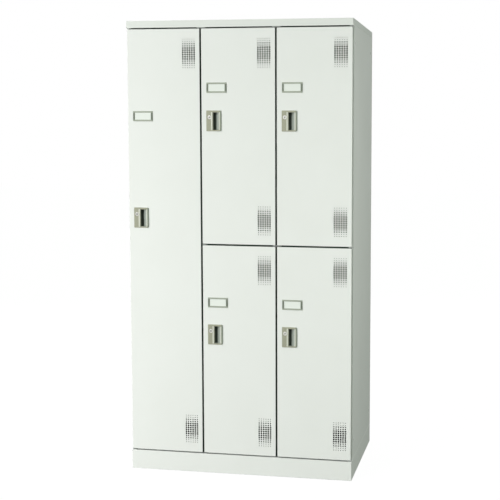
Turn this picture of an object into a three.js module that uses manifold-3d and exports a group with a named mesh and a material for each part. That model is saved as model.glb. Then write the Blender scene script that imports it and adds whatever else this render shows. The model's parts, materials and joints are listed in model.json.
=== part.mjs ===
import * as THREE from "three";
import { mergeVertices } from "three/addons/utils/BufferGeometryUtils.js";
import Module from "manifold-3d";

// A sheet-steel locker of three columns. The left column has one full-height door,
// and the other two have an upper and a lower door each. Every door is hinged on its right.
// Millimetres, +Z up. In the body group x runs from the left side, y back from the plane
// of the door faces, and z up from the floor.

// Body
const columnCount = 3;
const columnWidth = 300;
const bodyDepth = 515;
const bodyHeight = 1790;
const sheet = 0.8;
const seat = 0.3;
const overrun = 2;
const roundSides = 16;

// Top panel
const bandHeight = 28;
const topSideFlange = 23;
const bandLip = 12;

// Plinth and floor panel
const plinthHeight = 76;
const ledgeDepth = 45;
const ledgeSide = 30;
const footFlange = 20;
const floorRise = 15;

// Doors
const doorDepth = 18;
const doorSideGap = 3;
const doorEndGap = 4.5;
const doorLip = 12;

// Uprights and shelves
const sideFlange = 18;
const postReach = 15;
const backFlange = 15;
const midRailHeight = 30;
const shelfFlange = 12;
const hatSpace = 330;
const hatSetback = 60;
const hatLip = 20;

// Hanger rails
const railRadius = 8;
const railWall = 1.5;
const railCupRadius = 13;
const railCupLength = 5;
const railDrop = 70;

// Door pivots and the plates that carry them
const pivotFromEdge = 8;
const pivotFromFace = 10;
const swingClearance = 0.7;
const pinRadius = 3;
const pinReach = 5;
const plateThickness = 2;
const plateSetback = 2;
const plateMargin = 1;
const plateRestReach = 18;

// Handle: a plate that carries the lock, a round grip edge, and a recess for the fingers
const handleWidth = 60;
const handleHeight = 80;
const handleInset = 20;
const handleProud = 2;
const handleOverlap = 2.5;
const handleLeftCorner = 1.5;
const handleRightCorner = 5;
const gripEdge = 27;
const gripRadius = 3;
const fingerWay = 5;
const rampLipWidth = 5;
const rampLipDepth = 3;
const rimWidth = 8;
const recessTopBar = 7;
const recessBottomBar = 5;
const cupWall = 1.5;
const cupBackGap = 2;

// Lock
const lockFromTop = 26;
const lockHeadRadius = 8;
const lockHeadProud = 1;
const lockHeadSink = 1;
const lockBarrelRadius = 5;
const lockBossWall = 2.5;
const lockTailSide = 6;
const lockTailLength = 2;
const keySlotWidth = 1.4;
const keySlotLength = 7;
const keySlotDepth = 3;
const camThickness = 2;
const camBehindFlange = 1.2;
const camRadius = 7;
const camTipRadius = 3;
const camTipFromUpright = 7.5;

// Name holder: a frame with a pocket behind it, and its card
const labelWidth = 80;
const labelHeight = 39.5;
const labelInset = 21;
const labelSideBar = 7;
const labelEndBar = 6;
const labelPocketInset = 3;
const cardThickness = 0.4;

// How far the middles of the name holder and the handle lie below a door's top edge
const tallLabelDrop = 337;
const tallHandleDrop = 737;
const halfLabelDrop = 227;
const halfHandleDrop = 355;

// Places that follow from the sizes above
const bodyWidth = columnCount * columnWidth;
const pivotToBack = doorDepth - pivotFromFace;
const backCornerSwing = Math.hypot(pivotFromEdge, pivotToBack) - pivotToBack;
const frontCornerSwing = Math.hypot(pivotFromEdge, pivotFromFace) - pivotFromEdge;
const restPlateInset = frontCornerSwing - doorSideGap + swingClearance;
const carcassFront = doorDepth + backCornerSwing + swingClearance;
const carcassBack = bodyDepth - sheet - seat;
const innerFront = carcassFront + sheet + seat;
const innerBack = carcassBack - sheet - seat;
const panelBottom = plinthHeight + seat;
const panelTop = bodyHeight - topSideFlange - seat;
const floorTop = panelBottom + floorRise;
const ceiling = bodyHeight - sheet;
const bandBottom = bodyHeight - bandHeight;
const doorWidth = columnWidth - 2 * doorSideGap;
const doorBottom = plinthHeight + doorEndGap;
const doorTop = bandBottom - doorEndGap;
const tallDoorHeight = doorTop - doorBottom;
const halfDoorHeight = (tallDoorHeight - doorEndGap) / 2;
const upperDoorBottom = doorTop - halfDoorHeight;
const midGap = (doorBottom + doorTop) / 2;
const midShelfTop = midGap + midRailHeight / 2;
const hatShelfTop = ceiling - hatSpace;
const frontProud = handleProud + lockHeadProud;
const lockFromSide = (gripEdge - gripRadius) / 2;
const lockBossRadius = lockBarrelRadius + seat + lockBossWall;
const recessLeft = lockFromSide + lockBossRadius;
const recessRight = handleWidth - rimWidth;
const camFront = carcassFront + sheet + camBehindFlange;
const camBack = camFront + camThickness;

const paint = { color: 0xe6e9e5, roughness: 0.45, metalness: 0.05 };
const innerPaint = { color: 0xd5d9d3, roughness: 0.5, metalness: 0.05 };
const zincPlate = { color: 0xb9bcb4, roughness: 0.4, metalness: 0.7 };
const handleFinish = { color: 0xb4b49e, roughness: 0.4, metalness: 0.3 };
const nickelPlate = { color: 0xd9d9d2, roughness: 0.22, metalness: 0.95 };
const cardStock = { color: 0xedf0ea, roughness: 0.8, metalness: 0 };

const wasm = await Module();
wasm.setup();

// A closed geometry as a solid that can be joined and cut.
function solidFrom(geometry) {
  const bare = geometry.clone();
  bare.deleteAttribute("normal");
  bare.deleteAttribute("uv");
  const merged = mergeVertices(bare);
  const mesh = new wasm.Mesh({
    numProp: 3,
    vertProperties: merged.attributes.position.array,
    triVerts: new Uint32Array(merged.index.array),
  });
  return new wasm.Manifold(mesh);
}

// A square-edged block between two places on each axis, given in either order. Its corners
// are set straight from those places, so that blocks which share a face share it exactly.
function block(...spans) {
  const geometry = new THREE.BoxGeometry(1, 1, 1);
  const corners = geometry.attributes.position;
  const [xs, ys, zs] = spans.map((span) => [Math.min(...span), Math.max(...span)]);
  for (let i = 0; i < corners.count; i += 1) {
    corners.setXYZ(
      i,
      xs[corners.getX(i) > 0 ? 1 : 0],
      ys[corners.getY(i) > 0 ? 1 : 0],
      zs[corners.getZ(i) > 0 ? 1 : 0],
    );
  }
  return solidFrom(geometry);
}

// A round bar that runs from front to back.
function barAlongY(radius, [y0, y1], [x, z] = [0, 0]) {
  const geometry = new THREE.CylinderGeometry(radius, radius, y1 - y0, roundSides);
  geometry.translate(x, (y0 + y1) / 2, z);
  return solidFrom(geometry);
}

// A round bar that stands upright.
function barAlongZ(radius, [z0, z1], [x, y]) {
  const geometry = new THREE.CylinderGeometry(radius, radius, z1 - z0, roundSides);
  geometry.rotateX(Math.PI / 2);
  geometry.translate(x, y, (z0 + z1) / 2);
  return solidFrom(geometry);
}

// A flat shape drawn in x and z, made solid from y0 back to y1.
function sheetShape(shape, [y0, y1]) {
  const options = { depth: y1 - y0, bevelEnabled: false, curveSegments: roundSides / 4 };
  const geometry = new THREE.ExtrudeGeometry(shape, options);
  geometry.rotateX(Math.PI / 2);
  geometry.translate(0, y1, 0);
  return solidFrom(geometry);
}

// A plan of x and y corners, made solid from z = 0 up.
function upright(corners, height) {
  const shape = new THREE.Shape(corners.map(([x, y]) => new THREE.Vector2(x, y)));
  return solidFrom(new THREE.ExtrudeGeometry(shape, { depth: height, bevelEnabled: false }));
}

function join(...solids) {
  return solids.reduce((whole, next) => whole.add(next));
}

function cut(solid, ...cutters) {
  return cutters.reduce((left, cutter) => left.subtract(cutter), solid);
}

// A named mesh of a solid, at its place in its group.
function piece(name, solid, finish, [x, y, z]) {
  const { vertProperties, triVerts } = solid.getMesh();
  const geometry = new THREE.BufferGeometry();
  geometry.setAttribute("position", new THREE.BufferAttribute(vertProperties, 3));
  geometry.setIndex(new THREE.BufferAttribute(triVerts, 1));
  geometry.computeVertexNormals();
  const mesh = new THREE.Mesh(geometry, new THREE.MeshStandardMaterial(finish));
  mesh.name = name;
  mesh.position.set(x, y, z);
  return mesh;
}

// The inner faces of the two sheets that close a column.
function columnSpan(column) {
  const left = column === 0 ? sheet : column * columnWidth + sheet / 2;
  const right =
    column === columnCount - 1 ? bodyWidth - sheet : (column + 1) * columnWidth - sheet / 2;
  return [left + seat, right - seat];
}

// The flat top, folded down all round. Its front fold is a deep band, turned back and up.
function topPanel() {
  const bandBack = carcassFront - seat;
  const acrossInside = [sheet, bodyWidth - sheet];
  const inside = bodyHeight - sheet;
  const outer = block([0, bodyWidth], [0, bodyDepth], [bandBottom, bodyHeight]);
  const belowSideFolds = block(
    [-overrun, bodyWidth + overrun],
    [bandBack, bodyDepth + overrun],
    [bandBottom - overrun, bodyHeight - topSideFlange],
  );
  const room = block(acrossInside, [bandBack, bodyDepth - sheet], [bandBottom - overrun, inside]);
  const bandRoom = block(acrossInside, [sheet, bandBack - sheet], [bandBottom + sheet, inside]);
  const aboveLip = block(
    acrossInside,
    [bandBack - sheet - overrun, bandBack + overrun],
    [bandBottom + bandLip, inside],
  );
  return cut(outer, belowSideFolds, room, bandRoom, aboveLip);
}

// A side with its front and back edges folded in. inward is 1 for the left and -1 for the right.
function sidePanel(inward) {
  const depth = carcassBack - carcassFront;
  const section = [
    [0, 0],
    [sideFlange, 0],
    [sideFlange, sheet],
    [sheet, sheet],
    [sheet, depth - sheet],
    [backFlange, depth - sheet],
    [backFlange, depth],
    [0, depth],
  ].map(([x, y]) => [inward * x, y]);
  return upright(section, panelTop - panelBottom);
}

// The sheet between two columns, with its back edge folded. It stands on the floor panel.
function partition() {
  const depth = carcassBack - innerFront;
  const half = sheet / 2;
  const section = [
    [-half, 0],
    [half, 0],
    [half, depth - sheet],
    [backFlange, depth - sheet],
    [backFlange, depth],
    [-half, depth],
  ];
  return upright(section, ceiling - floorTop - 2 * seat);
}

// The strip that closes a partition's front edge. It shows between the doors, and runs down
// to the plinth in front of the floor panel. The lock cams on its right catch behind it.
function doorPost() {
  return block([-postReach, postReach], [0, sheet], [0, ceiling - seat - panelBottom]);
}

// The ring under the body: four walls with a ledge folded in above and a foot below.
function plinth() {
  const outer = block([0, bodyWidth], [0, bodyDepth], [0, plinthHeight]);
  const room = block(
    [sheet, bodyWidth - sheet],
    [sheet, bodyDepth - sheet],
    [sheet, plinthHeight - sheet],
  );
  const ledgeMouth = block(
    [ledgeSide, bodyWidth - ledgeSide],
    [ledgeDepth, bodyDepth - ledgeSide],
    [plinthHeight - sheet - overrun, plinthHeight + overrun],
  );
  const footMouth = block(
    [footFlange, bodyWidth - footFlange],
    [footFlange, bodyDepth - footFlange],
    [-overrun, sheet + overrun],
  );
  return cut(outer, room, ledgeMouth, footMouth);
}

// A flat sheet with its edges folded down: a floor or a shelf, with its top face at z = 0.
// Its front fold may be deeper than the others.
function tray(width, depth, frontFold, otherFold) {
  const lowest = -Math.max(frontFold, otherFold);
  const outer = block([0, width], [0, depth], [lowest, 0]);
  const room = block(
    [sheet, width - sheet],
    [sheet, depth - sheet],
    [lowest - overrun, -sheet],
  );
  const belowOthers = block(
    [-overrun, width + overrun],
    [sheet, depth + overrun],
    [lowest - overrun, -otherFold],
  );
  return frontFold > otherFold ? cut(outer, room, belowOthers) : cut(outer, room);
}

// A tube with a cup at each end, lying along x.
function hangerRail(length) {
  const bore = railRadius - railWall;
  const profile = [
    [bore, 0],
    [railCupRadius, 0],
    [railCupRadius, railCupLength],
    [railRadius, railCupLength],
    [railRadius, length - railCupLength],
    [railCupRadius, length - railCupLength],
    [railCupRadius, length],
    [bore, length],
    [bore, 0],
  ].map(([radius, along]) => new THREE.Vector2(radius, along));
  const geometry = new THREE.LatheGeometry(profile, roundSides);
  geometry.rotateZ(-Math.PI / 2);
  return solidFrom(geometry);
}

// A plate that fills the gap at the end of a door. Its left wing carries the pivot of the door
// on the left, and the free edge of the door on the right closes over its right wing.
// pins lists which way each pin points: 1 up, -1 down.
function gapPlate({ leftReach, rightReach, pins, pinLength }) {
  const plate = block(
    [-leftReach, rightReach],
    [plateSetback, carcassFront - seat],
    [-plateThickness / 2, plateThickness / 2],
  );
  const pinAt = [-doorSideGap - pivotFromEdge, pivotFromFace];
  const bars = pins.map((way) => {
    const reach = way > 0 ? [0, pinLength] : [-pinLength, 0];
    return barAlongZ(pinRadius, reach, pinAt);
  });
  return join(plate, ...bars);
}

// A folded pan: its four edges turn back and then in. It has an opening for the handle,
// and a hole for a pivot pin in its top and bottom edges.
function doorPanel(height, handleDrop) {
  const handleBottom = height - handleDrop - handleHeight / 2;
  const outer = block([0, doorWidth], [0, doorDepth], [0, height]);
  const room = block(
    [sheet, doorWidth - sheet],
    [sheet, doorDepth - sheet],
    [sheet, height - sheet],
  );
  const back = block(
    [doorLip, doorWidth - doorLip],
    [doorDepth - sheet - overrun, doorDepth + overrun],
    [doorLip, height - doorLip],
  );
  const handleHole = block(
    [handleInset + handleOverlap, handleInset + handleWidth - handleOverlap],
    [-overrun, sheet + overrun],
    [handleBottom + handleOverlap, handleBottom + handleHeight - handleOverlap],
  );
  const pinAt = [doorWidth - pivotFromEdge, pivotFromFace];
  const pinHole = barAlongZ(pinRadius + seat, [-overrun, height + overrun], pinAt);
  return cut(outer, room, back, handleHole, pinHole);
}

// The outline of the handle's front, with small corners on the left and round ones on the right.
function handleOutline() {
  const shape = new THREE.Shape();
  const left = handleLeftCorner;
  const right = handleRightCorner;
  shape.absarc(left, left, left, Math.PI, 1.5 * Math.PI);
  shape.absarc(handleWidth - right, right, right, -Math.PI / 2, 0);
  shape.absarc(handleWidth - right, handleHeight - right, right, 0, Math.PI / 2);
  shape.absarc(left, handleHeight - left, left, Math.PI / 2, Math.PI);
  shape.closePath();
  return shape;
}

// The finger recess, seen from above. It goes under the round grip edge on the left,
// and its floor rises to the face on the right.
function recessOutline(floorDepth) {
  const roundCentre = gripEdge - gripRadius;
  const shape = new THREE.Shape();
  shape.moveTo(roundCentre, -handleProud - overrun);
  shape.absarc(roundCentre, gripRadius - handleProud, gripRadius, -Math.PI / 2, Math.PI / 2);
  shape.lineTo(recessLeft, 2 * gripRadius - handleProud);
  shape.lineTo(recessLeft, floorDepth);
  shape.lineTo(gripEdge + fingerWay, floorDepth);
  shape.lineTo(recessRight - rampLipWidth, rampLipDepth);
  shape.lineTo(recessRight, -handleProud);
  shape.lineTo(recessRight, -handleProud - overrun);
  shape.closePath();
  return shape;
}

// The handle's front plate, its cup and the boss round the lock, in one casting.
function handle() {
  const cupDepth = doorDepth - cupBackGap;
  const front = sheetShape(handleOutline(), [-handleProud, -seat]);
  const recessTop = handleHeight - recessTopBar;
  const cup = block(
    [recessLeft - cupWall, recessRight + cupWall],
    [-handleProud / 2, cupDepth],
    [recessBottomBar - cupWall, recessTop + cupWall],
  );
  const lockAt = [lockFromSide, handleHeight - lockFromTop];
  const boss = barAlongY(lockBossRadius, [-handleProud / 2, cupDepth], lockAt);
  const options = {
    depth: recessTop - recessBottomBar,
    bevelEnabled: false,
    curveSegments: roundSides / 2,
  };
  const recess = new THREE.ExtrudeGeometry(recessOutline(cupDepth - cupWall), options);
  recess.translate(0, 0, recessBottomBar);
  const cutterFront = -handleProud - overrun;
  const bore = barAlongY(lockBarrelRadius + seat, [cutterFront, cupDepth + overrun], lockAt);
  const headSpan = [cutterFront, lockHeadSink - handleProud];
  const headSink = barAlongY(lockHeadRadius + seat, headSpan, lockAt);
  return cut(join(front, cup, boss), solidFrom(recess), bore, headSink);
}

// The turning core of the lock, with a key slot in its head and a square tail for the cam.
function lockPlug() {
  const headFront = -frontProud;
  const headBack = lockHeadSink - handleProud - seat;
  const barrelBack = camFront - seat;
  return cut(
    join(
      barAlongY(lockHeadRadius, [headFront, headBack]),
      barAlongY(lockBarrelRadius, [headFront + lockHeadProud / 2, barrelBack]),
      block(
        [-lockTailSide / 2, lockTailSide / 2],
        [barrelBack - overrun, camBack + lockTailLength],
        [-lockTailSide / 2, lockTailSide / 2],
      ),
    ),
    block(
      [-keySlotWidth / 2, keySlotWidth / 2],
      [headFront - overrun, headFront + keySlotDepth],
      [-keySlotLength / 2, keySlotLength / 2],
    ),
  );
}

// The cam hangs down when the lock is open, and turns left to catch behind the upright's fold.
function lockCam() {
  const reach = doorSideGap + handleInset + lockFromSide - camTipFromUpright;
  const shape = new THREE.Shape();
  shape.absarc(0, 0, camRadius, 0, Math.PI);
  const tipCentre = camRadius - camTipRadius;
  shape.absarc(-tipCentre, camTipRadius - reach, camTipRadius, Math.PI, 1.5 * Math.PI);
  shape.absarc(tipCentre, camTipRadius - reach, camTipRadius, -Math.PI / 2, 0);
  shape.closePath();
  const holeSide = lockTailSide + 2 * seat;
  return cut(
    sheetShape(shape, [camFront, camBack]),
    block(
      [-holeSide / 2, holeSide / 2],
      [camFront - overrun, camBack + overrun],
      [-holeSide / 2, holeSide / 2],
    ),
  );
}

// The frame of the name holder. The card slides down behind it from above.
function labelFrame() {
  const pocketFront = -seat - cardThickness - seat;
  return cut(
    block([0, labelWidth], [-handleProud, -seat], [0, labelHeight]),
    block(
      [labelSideBar, labelWidth - labelSideBar],
      [-handleProud - overrun, overrun],
      [labelEndBar, labelHeight - labelEndBar],
    ),
    block(
      [labelPocketInset, labelWidth - labelPocketInset],
      [pocketFront, overrun],
      [labelPocketInset, labelHeight + overrun],
    ),
  );
}

function labelCard() {
  const inset = labelPocketInset + seat;
  return block([inset, labelWidth - inset], [-seat - cardThickness, -seat], [inset, labelHeight]);
}

// One door with all it carries, at its place on the front.
function door(name, column, bottom, height, labelDrop, handleDrop) {
  const group = new THREE.Group();
  group.position.set(column * columnWidth + doorSideGap, 0, bottom);
  const labelBottom = height - labelDrop - labelHeight / 2;
  const handleBottom = height - handleDrop - handleHeight / 2;
  const lockAt = [handleInset + lockFromSide, 0, handleBottom + handleHeight - lockFromTop];
  group.add(
    piece("door_" + name, doorPanel(height, handleDrop), paint, [0, 0, 0]),
    piece("handle_" + name, handle(), handleFinish, [handleInset, 0, handleBottom]),
    piece("lock_plug_" + name, lockPlug(), nickelPlate, lockAt),
    piece("lock_cam_" + name, lockCam(), zincPlate, lockAt),
    piece("label_frame_" + name, labelFrame(), handleFinish, [labelInset, 0, labelBottom]),
    piece("label_card_" + name, labelCard(), cardStock, [labelInset, 0, labelBottom]),
  );
  return group;
}

// The plates in the gaps above, between and below the doors. The plate at the first upright
// of a row only meets the free edge of a door, and keeps clear of the corner of the door on
// its left as that one swings. Each of the others carries a pivot too.
function gapPlates() {
  const group = new THREE.Group();
  const pivotReach = doorSideGap + pivotFromEdge + pinRadius + plateMargin;
  const toSeat = seat + plateThickness / 2;
  const rows = [
    { name: "top", first: 0, z: bandBottom - toSeat, toDoor: doorEndGap - toSeat, pins: [-1] },
    { name: "mid", first: 1, z: midGap, toDoor: doorEndGap / 2, pins: [1, -1] },
    { name: "bottom", first: 0, z: plinthHeight + toSeat, toDoor: doorEndGap - toSeat, pins: [1] },
  ];
  const hingedDoors = ["tall", "centre", "right"];
  for (const row of rows) {
    for (let upright = row.first; upright <= columnCount; upright += 1) {
      const carriesPivot = upright > row.first;
      const plate = gapPlate({
        leftReach: carriesPivot ? pivotReach : -restPlateInset,
        rightReach: upright < columnCount ? plateRestReach : 0,
        pins: carriesPivot ? row.pins : [],
        pinLength: row.toDoor + pinReach,
      });
      const kind = carriesPivot ? "_pivot_plate_" + hingedDoors[upright - 1] : "_rest_plate";
      group.add(piece(row.name + kind, plate, zincPlate, [upright * columnWidth, 0, row.z]));
    }
  }
  return group;
}

// A shelf or a floor that fits between the two sheets of its column.
function columnShelf(name, column, top, front, frontFold) {
  const [left, right] = columnSpan(column);
  const shelf = tray(right - left, innerBack - front, frontFold, shelfFlange);
  return piece(name, shelf, innerPaint, [left, front, top]);
}

function columnRail(name, column, ceilingHeight) {
  const [left, right] = columnSpan(column);
  const middle = (innerFront + innerBack) / 2;
  const rail = hangerRail(right - left);
  return piece(name, rail, nickelPlate, [left, middle, ceilingHeight - railDrop]);
}

// The fixed steelwork: everything but the doors and what they carry.
function carcass() {
  const group = new THREE.Group();
  const backHeight = panelTop - panelBottom;
  const floorLeft = sheet + seat;
  const floorPanel = tray(
    bodyWidth - 2 * floorLeft,
    innerBack - innerFront,
    floorRise,
    floorRise,
  );
  const backPanel = block([0, bodyWidth], [-sheet, 0], [0, backHeight]);
  group.add(
    piece("plinth", plinth(), paint, [0, 0, 0]),
    piece("floor_panel", floorPanel, innerPaint, [floorLeft, innerFront, floorTop]),
    piece("top_panel", topPanel(), paint, [0, 0, 0]),
    piece("back_panel", backPanel, paint, [0, bodyDepth, panelBottom]),
    piece("side_panel_left", sidePanel(1), paint, [0, carcassFront, panelBottom]),
    piece("side_panel_right", sidePanel(-1), paint, [bodyWidth, carcassFront, panelBottom]),
    piece("partition_left", partition(), innerPaint, [columnWidth, innerFront, floorTop + seat]),
    piece("partition_right", partition(), innerPaint, [
      2 * columnWidth,
      innerFront,
      floorTop + seat,
    ]),
    piece("door_post_left", doorPost(), paint, [columnWidth, carcassFront, panelBottom]),
    piece("door_post_right", doorPost(), paint, [2 * columnWidth, carcassFront, panelBottom]),
    columnShelf("hat_shelf", 0, hatShelfTop, innerFront + hatSetback, hatLip),
    columnShelf("mid_shelf_centre", 1, midShelfTop, innerFront, midRailHeight),
    columnShelf("mid_shelf_right", 2, midShelfTop, innerFront, midRailHeight),
    columnRail("hanger_rail_tall", 0, hatShelfTop),
    columnRail("hanger_rail_upper_centre", 1, ceiling),
    columnRail("hanger_rail_lower_centre", 1, midShelfTop),
    columnRail("hanger_rail_upper_right", 2, ceiling),
    columnRail("hanger_rail_lower_right", 2, midShelfTop),
    gapPlates(),
  );
  return group;
}

// The five doors. The part's origin is under the middle of its box.
const body = new THREE.Group();
body.position.set(-bodyWidth / 2, (frontProud - bodyDepth) / 2, 0);
body.add(
  carcass(),
  door("tall", 0, doorBottom, tallDoorHeight, tallLabelDrop, tallHandleDrop),
  door("upper_centre", 1, upperDoorBottom, halfDoorHeight, halfLabelDrop, halfHandleDrop),
  door("lower_centre", 1, doorBottom, halfDoorHeight, halfLabelDrop, halfHandleDrop),
  door("upper_right", 2, upperDoorBottom, halfDoorHeight, halfLabelDrop, halfHandleDrop),
  door("lower_right", 2, doorBottom, halfDoorHeight, halfLabelDrop, halfHandleDrop),
);

const locker = new THREE.Group();
locker.add(body);

export default locker;
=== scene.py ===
# %% [markdown]
# # A five-door steel locker
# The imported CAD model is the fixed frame: it has every sheet, door, lock and pivot at its true
# size and place. This script gives it its looks. Each sheet-metal piece starts as a copy of its
# CAD solid, so it stays exactly where the frame has it, and then gets what the press and the
# punch leave on the real one. All lengths are in metres, and mm turns millimetres into them.

# %% Load the frame
import json
import math

import bmesh
import bpy
from mathutils import Matrix, Vector


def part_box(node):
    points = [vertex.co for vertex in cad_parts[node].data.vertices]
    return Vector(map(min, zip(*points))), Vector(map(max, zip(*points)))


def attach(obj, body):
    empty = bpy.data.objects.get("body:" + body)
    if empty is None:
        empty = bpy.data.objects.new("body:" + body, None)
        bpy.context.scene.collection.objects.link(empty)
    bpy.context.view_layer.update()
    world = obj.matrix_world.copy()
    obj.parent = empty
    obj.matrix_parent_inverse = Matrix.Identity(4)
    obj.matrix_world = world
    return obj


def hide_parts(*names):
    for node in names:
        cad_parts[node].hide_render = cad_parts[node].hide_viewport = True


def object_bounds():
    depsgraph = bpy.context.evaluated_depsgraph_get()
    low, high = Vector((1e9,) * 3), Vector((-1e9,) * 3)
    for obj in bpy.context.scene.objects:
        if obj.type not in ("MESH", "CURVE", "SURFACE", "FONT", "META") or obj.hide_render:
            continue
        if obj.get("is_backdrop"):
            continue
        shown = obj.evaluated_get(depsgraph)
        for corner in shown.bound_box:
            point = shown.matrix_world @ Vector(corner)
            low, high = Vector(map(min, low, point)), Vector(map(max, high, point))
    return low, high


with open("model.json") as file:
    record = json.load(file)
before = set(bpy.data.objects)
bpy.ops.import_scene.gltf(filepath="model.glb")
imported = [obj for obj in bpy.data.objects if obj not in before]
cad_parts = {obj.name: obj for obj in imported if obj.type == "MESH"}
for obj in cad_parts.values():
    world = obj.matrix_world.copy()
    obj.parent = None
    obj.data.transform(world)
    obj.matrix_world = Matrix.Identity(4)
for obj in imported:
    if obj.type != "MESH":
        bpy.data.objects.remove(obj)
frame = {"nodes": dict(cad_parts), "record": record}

mm = 0.001
nodes = frame["nodes"]
body_of = {
    node: body
    for body, members in frame["record"]["behaviour"]["bodies"].items()
    for node in members
}
doors = ["tall", "upper_centre", "lower_centre", "upper_right", "lower_right"]
cad_low, cad_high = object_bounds()
print("CAD box in metres:", [round(x, 4) for x in (*cad_low, *cad_high)])

# %% [markdown]
# ## Helpers for materials
# Colours are picked as sRGB hex values, as on a screen, but a shader works in linear light.
# One function does that change. Another adds a node with its settings and links in one call.
# All patterns read Object coordinates. Every piece sits at the origin, so those are metres in
# the locker's frame, and a pattern's scale is one over its real size.


# %% Colour and node helpers
def linear(hex_colour):
    """Turns an sRGB hex colour into the linear RGBA that a shader takes."""
    channels = [int(hex_colour[i : i + 2], 16) / 255 for i in (1, 3, 5)]
    return (*[c / 12.92 if c <= 0.04045 else ((c + 0.055) / 1.055) ** 2.4 for c in channels], 1)


def add_node(tree, kind, inputs=None, **settings):
    """Adds one node. Each input is given a value, or another node's output to link from."""
    node = tree.nodes.new(kind)
    for setting, value in settings.items():
        setattr(node, setting, value)
    for socket, value in (inputs or {}).items():
        if isinstance(value, bpy.types.NodeSocket):
            tree.links.new(value, node.inputs[socket])
        else:
            node.inputs[socket].default_value = value
    return node


def start_finish(name, tones, pattern, roughness, metallic=0.0):
    """A new material in two close tones, mixed by a pattern: a kind, its sizes, an output."""
    finish = bpy.data.materials.new(name)
    finish.use_nodes = True
    tree = finish.node_tree
    shader = tree.nodes["Principled BSDF"]
    shader.inputs["Roughness"].default_value = roughness
    shader.inputs["Metallic"].default_value = metallic
    where = add_node(tree, "ShaderNodeTexCoord").outputs["Object"]
    kind, sizes, output = pattern
    spread = add_node(tree, kind, {"Vector": where, **sizes}).outputs
    mixed = {0: spread[output], 6: linear(tones[0]), 7: linear(tones[1])}
    tone = add_node(tree, "ShaderNodeMix", mixed, data_type="RGBA")
    tree.links.new(tone.outputs[2], shader.inputs["Base Color"])
    return finish, tree, shader, where, spread


print("A mid grey in linear light:", [round(c, 3) for c in linear("#808080")])

# %% [markdown]
# ## Baked enamel
# The sheets are sprayed with a pale warm grey paint and baked. The eye sees a nearly even
# colour that drifts a little over a hand's width, a low gloss, and a skin that is not quite
# flat: orange peel, bumps about 2 mm across and a few hundredths high. The drift is a mix of
# two close greys by a soft noise. The peel is a fine noise through a Bump node, because it is
# far too shallow to be modelled. The top is a shade darker than the doors. The inside gets the
# same paint, duller, and a darker grey as painted shade of the closed locker. The outermost
# edges of the doors get a mid grey as painted shade. The edges in the gaps between the doors
# get a dark grey as painted shade, dead matt, so it hardly mirrors the room. A pale strip
# along the seam above the foot is a painted highlight.


# %% Enamel on the outside and the inside, and the painted shade and highlight
def baked_enamel(name, light, dark, roughness, specular=0.5):
    """Sprayed and baked paint: two close tones, orange peel and a slightly uneven gloss. The
    painted shade and the painted highlight on the sheets are made the same way.
    """
    soft_noise = ("ShaderNodeTexNoise", {"Scale": 1 / 0.16, "Detail": 2}, "Fac")
    finish, tree, shader, where, drift = start_finish(name, (light, dark), soft_noise, roughness)
    shader.inputs["IOR"].default_value = 1.5
    shader.inputs["Specular IOR Level"].default_value = specular
    peel = add_node(
        tree, "ShaderNodeTexNoise", {"Vector": where, "Scale": 1 / (2 * mm), "Detail": 1}
    )
    bump = add_node(
        tree,
        "ShaderNodeBump",
        {"Strength": 0.4, "Distance": 0.05 * mm, "Height": peel.outputs["Fac"]},
    )
    gloss = add_node(
        tree,
        "ShaderNodeMapRange",
        {"Value": drift["Fac"], "To Min": roughness - 0.04, "To Max": roughness + 0.04},
    )
    tree.links.new(bump.outputs["Normal"], shader.inputs["Normal"])
    tree.links.new(gloss.outputs["Result"], shader.inputs["Roughness"])
    return finish


outer_enamel = baked_enamel("baked_enamel_pale_grey", "#EBECE9", "#E7E8E4", 0.6)
top_enamel = baked_enamel("baked_enamel_on_the_top", "#E5E7E3", "#E1E3DE", 0.6)
# Painted shade: the inside is painted a darker grey, for the shade in the closed locker. Its duller
# gloss is real.
inner_enamel_with_painted_shade = baked_enamel("baked_enamel_inside_with_painted_shade", "#B2B7AF", "#A9AFA6", 0.65)
# Painted shade: a mid grey for the outermost edges of the doors.
painted_shade_on_outer_edges = baked_enamel("painted_shade_on_the_outer_door_edges", "#C4C8C1", "#BEC2BB", 0.65)
# Painted shade: a dark grey for the edges and posts in the gaps between the doors.
painted_shade_in_gaps = baked_enamel("painted_shade_in_the_gaps", "#565E57", "#4F5750", 0.7, 0.05)
# Painted highlight: a pale strip on the sides along the seam above the foot.
painted_highlight_above_foot = baked_enamel("painted_highlight_above_the_foot", "#F7F8F5", "#F1F3EF", 0.5)
print("Finishes after the enamels:", len(bpy.data.materials))

# %% [markdown]
# ## Satin lacquer on the castings
# The handles and the name frames look khaki grey with a soft metallic glow. They are zinc die
# castings under a lacquer with fine metal flake. Flakes are about 0.1 mm across, too fine to
# show at all here, so they are drawn as 0.6 mm cells. Voronoi cells give each flake a tone of
# its own, and partly metallic shading gives the glow without the black reflections of bare
# metal. The name frames are a little greener. The grips get a pale khaki as painted highlight.
# The lacquer in a recess is dull, and deep at its bottom it is painted dark as painted shade.


# %% Lacquers on the handles and the name frames, and the painted highlight and shade
def flake_lacquer(name, light, dark, roughness, metallic):
    """Satin lacquer with metal flake, on a die casting. The painted highlight and the painted shade
    on the handles are made the same way.
    """
    flakes = ("ShaderNodeTexVoronoi", {"Scale": 1 / (0.6 * mm)}, "Color")
    finish, tree, shader, where, _ = start_finish(name, (light, dark), flakes, roughness, metallic)
    cast_skin = add_node(
        tree, "ShaderNodeTexNoise", {"Vector": where, "Scale": 1 / (4 * mm), "Detail": 3}
    )
    bump = add_node(
        tree,
        "ShaderNodeBump",
        {"Strength": 0.25, "Distance": 0.04 * mm, "Height": cast_skin.outputs["Fac"]},
    )
    tree.links.new(bump.outputs["Normal"], shader.inputs["Normal"])
    return finish


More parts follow.
